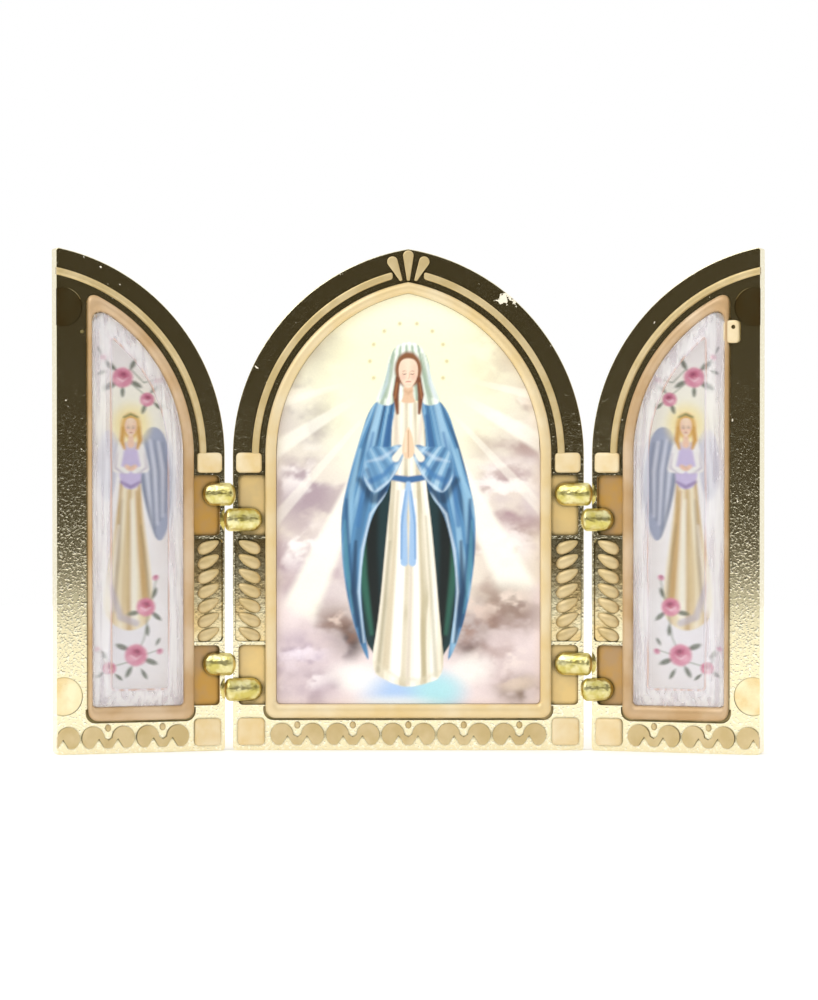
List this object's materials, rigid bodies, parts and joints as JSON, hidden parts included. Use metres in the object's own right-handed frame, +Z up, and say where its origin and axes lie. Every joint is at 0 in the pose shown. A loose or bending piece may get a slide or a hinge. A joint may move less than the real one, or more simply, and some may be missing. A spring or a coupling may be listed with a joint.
{
  "type": "triptych altarpiece",
  "caption": "Small gilt plastic tabletop triptych: a pointed-arch middle panel with a printed picture and hinged half-arch doors with pictures under clear bevelled covers.",
  "frame": {"origin": "middle of the middle panel's underside, on the surface it stands on", "axes": "+X to the right across the open triptych, +Y into the panels so that the pictures face -Y, +Z up"},
  "size_m": [0.0844, 0.0095, 0.06],
  "materials": {
    "gilt_plastic": "moulded plastic with a thin bright gold metal coat, satin on the raised ornament and stippled on the ground",
    "printed_card": "thin card printed in soft colours under a light gloss",
    "clear_plastic": "clear polished plastic, bevelled"
  },
  "bodies": {
    "centre": {"centre_frame": "gilt_plastic", "centre_picture": "printed_card"},
    "left_door": {"left_door_frame": "gilt_plastic", "left_door_picture": "printed_card", "left_door_lens": "clear_plastic"},
    "right_door": {"right_door_frame": "gilt_plastic", "right_door_picture": "printed_card", "right_door_lens": "clear_plastic"}
  },
  "joints": [
    {"name": "left_door_hinge", "type": "hinge", "parent": "centre", "child": "left_door", "pos_m": [-0.02133, -0.0023, 0.03], "axis": [0, 0, 1], "range_deg": [-18, 162]},
    {"name": "right_door_hinge", "type": "hinge", "parent": "centre", "child": "right_door", "pos_m": [0.02133, -0.0023, 0.03], "axis": [0, 0, -1], "range_deg": [-18, 162]}
  ]
}
